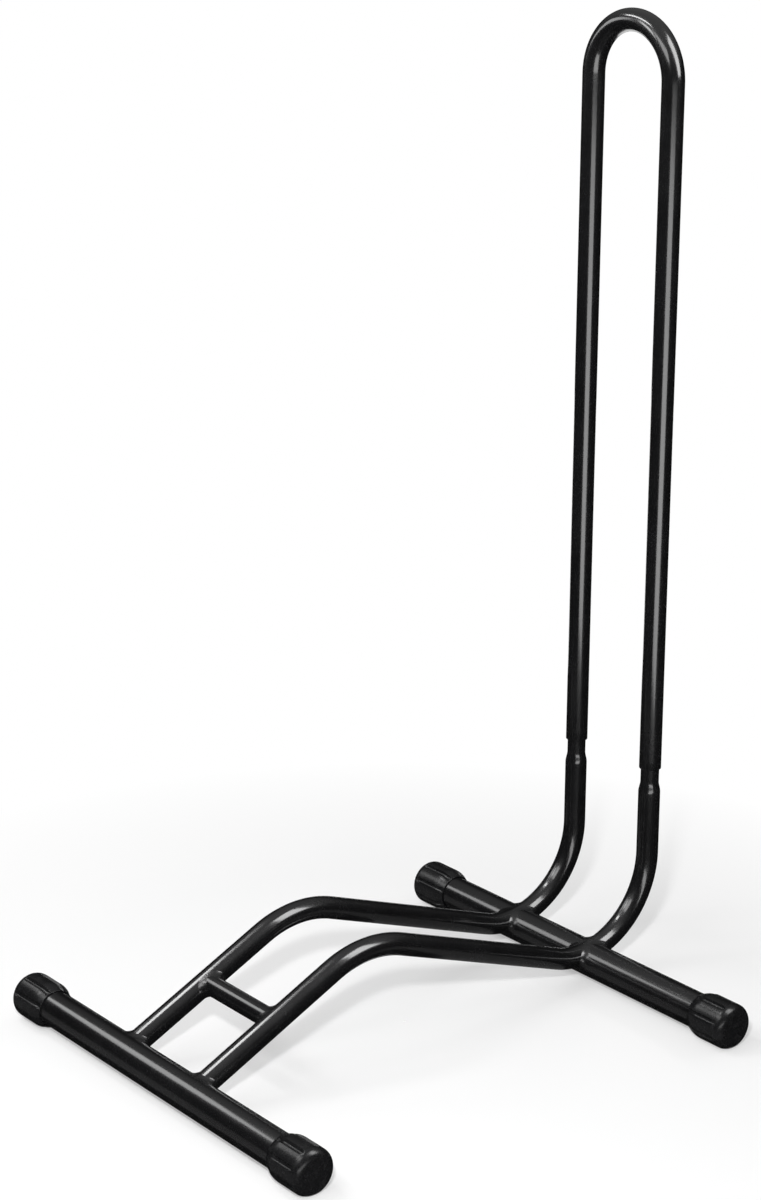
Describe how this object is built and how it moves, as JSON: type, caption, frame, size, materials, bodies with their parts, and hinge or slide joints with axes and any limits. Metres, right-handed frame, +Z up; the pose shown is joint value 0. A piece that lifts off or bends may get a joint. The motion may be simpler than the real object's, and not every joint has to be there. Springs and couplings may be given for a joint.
{
  "type": "floor bike rack",
  "caption": "Floor bike rack: two bent tube rails on two foot tubes with ribbed end caps cradle one wheel, and a tall narrow hoop stands behind it.",
  "frame": {"origin": "on the floor, in the middle of the rack's outline", "axes": "+Z up, +Y from the low end where the wheel rolls in to the upright hoop, +X to the right of the rolling wheel"},
  "size_m": [0.416, 0.5134, 0.8209],
  "materials": {
    "frame_enamel": "gloss black powder coat on steel tube",
    "cap_plastic": "satin black moulded plastic"
  },
  "bodies": {
    "base_frame": {"front_crossbar": "frame_enamel", "rear_crossbar": "frame_enamel", "left_rail": "frame_enamel", "right_rail": "frame_enamel", "rail_brace": "frame_enamel", "front_left_cap": "cap_plastic", "front_right_cap": "cap_plastic", "rear_left_cap": "cap_plastic", "rear_right_cap": "cap_plastic", "front_left_weld": "frame_enamel", "front_right_weld": "frame_enamel", "rear_left_weld": "frame_enamel", "rear_right_weld": "frame_enamel", "brace_left_weld": "frame_enamel", "brace_right_weld": "frame_enamel"},
    "hoop": {"upper_hoop": "frame_enamel"}
  },
  "joints": [
    {"name": "hoop_lift", "type": "slide", "parent": "base_frame", "child": "hoop", "axis": [0, 0, 1], "range_m": [0, 0.08]}
  ]
}
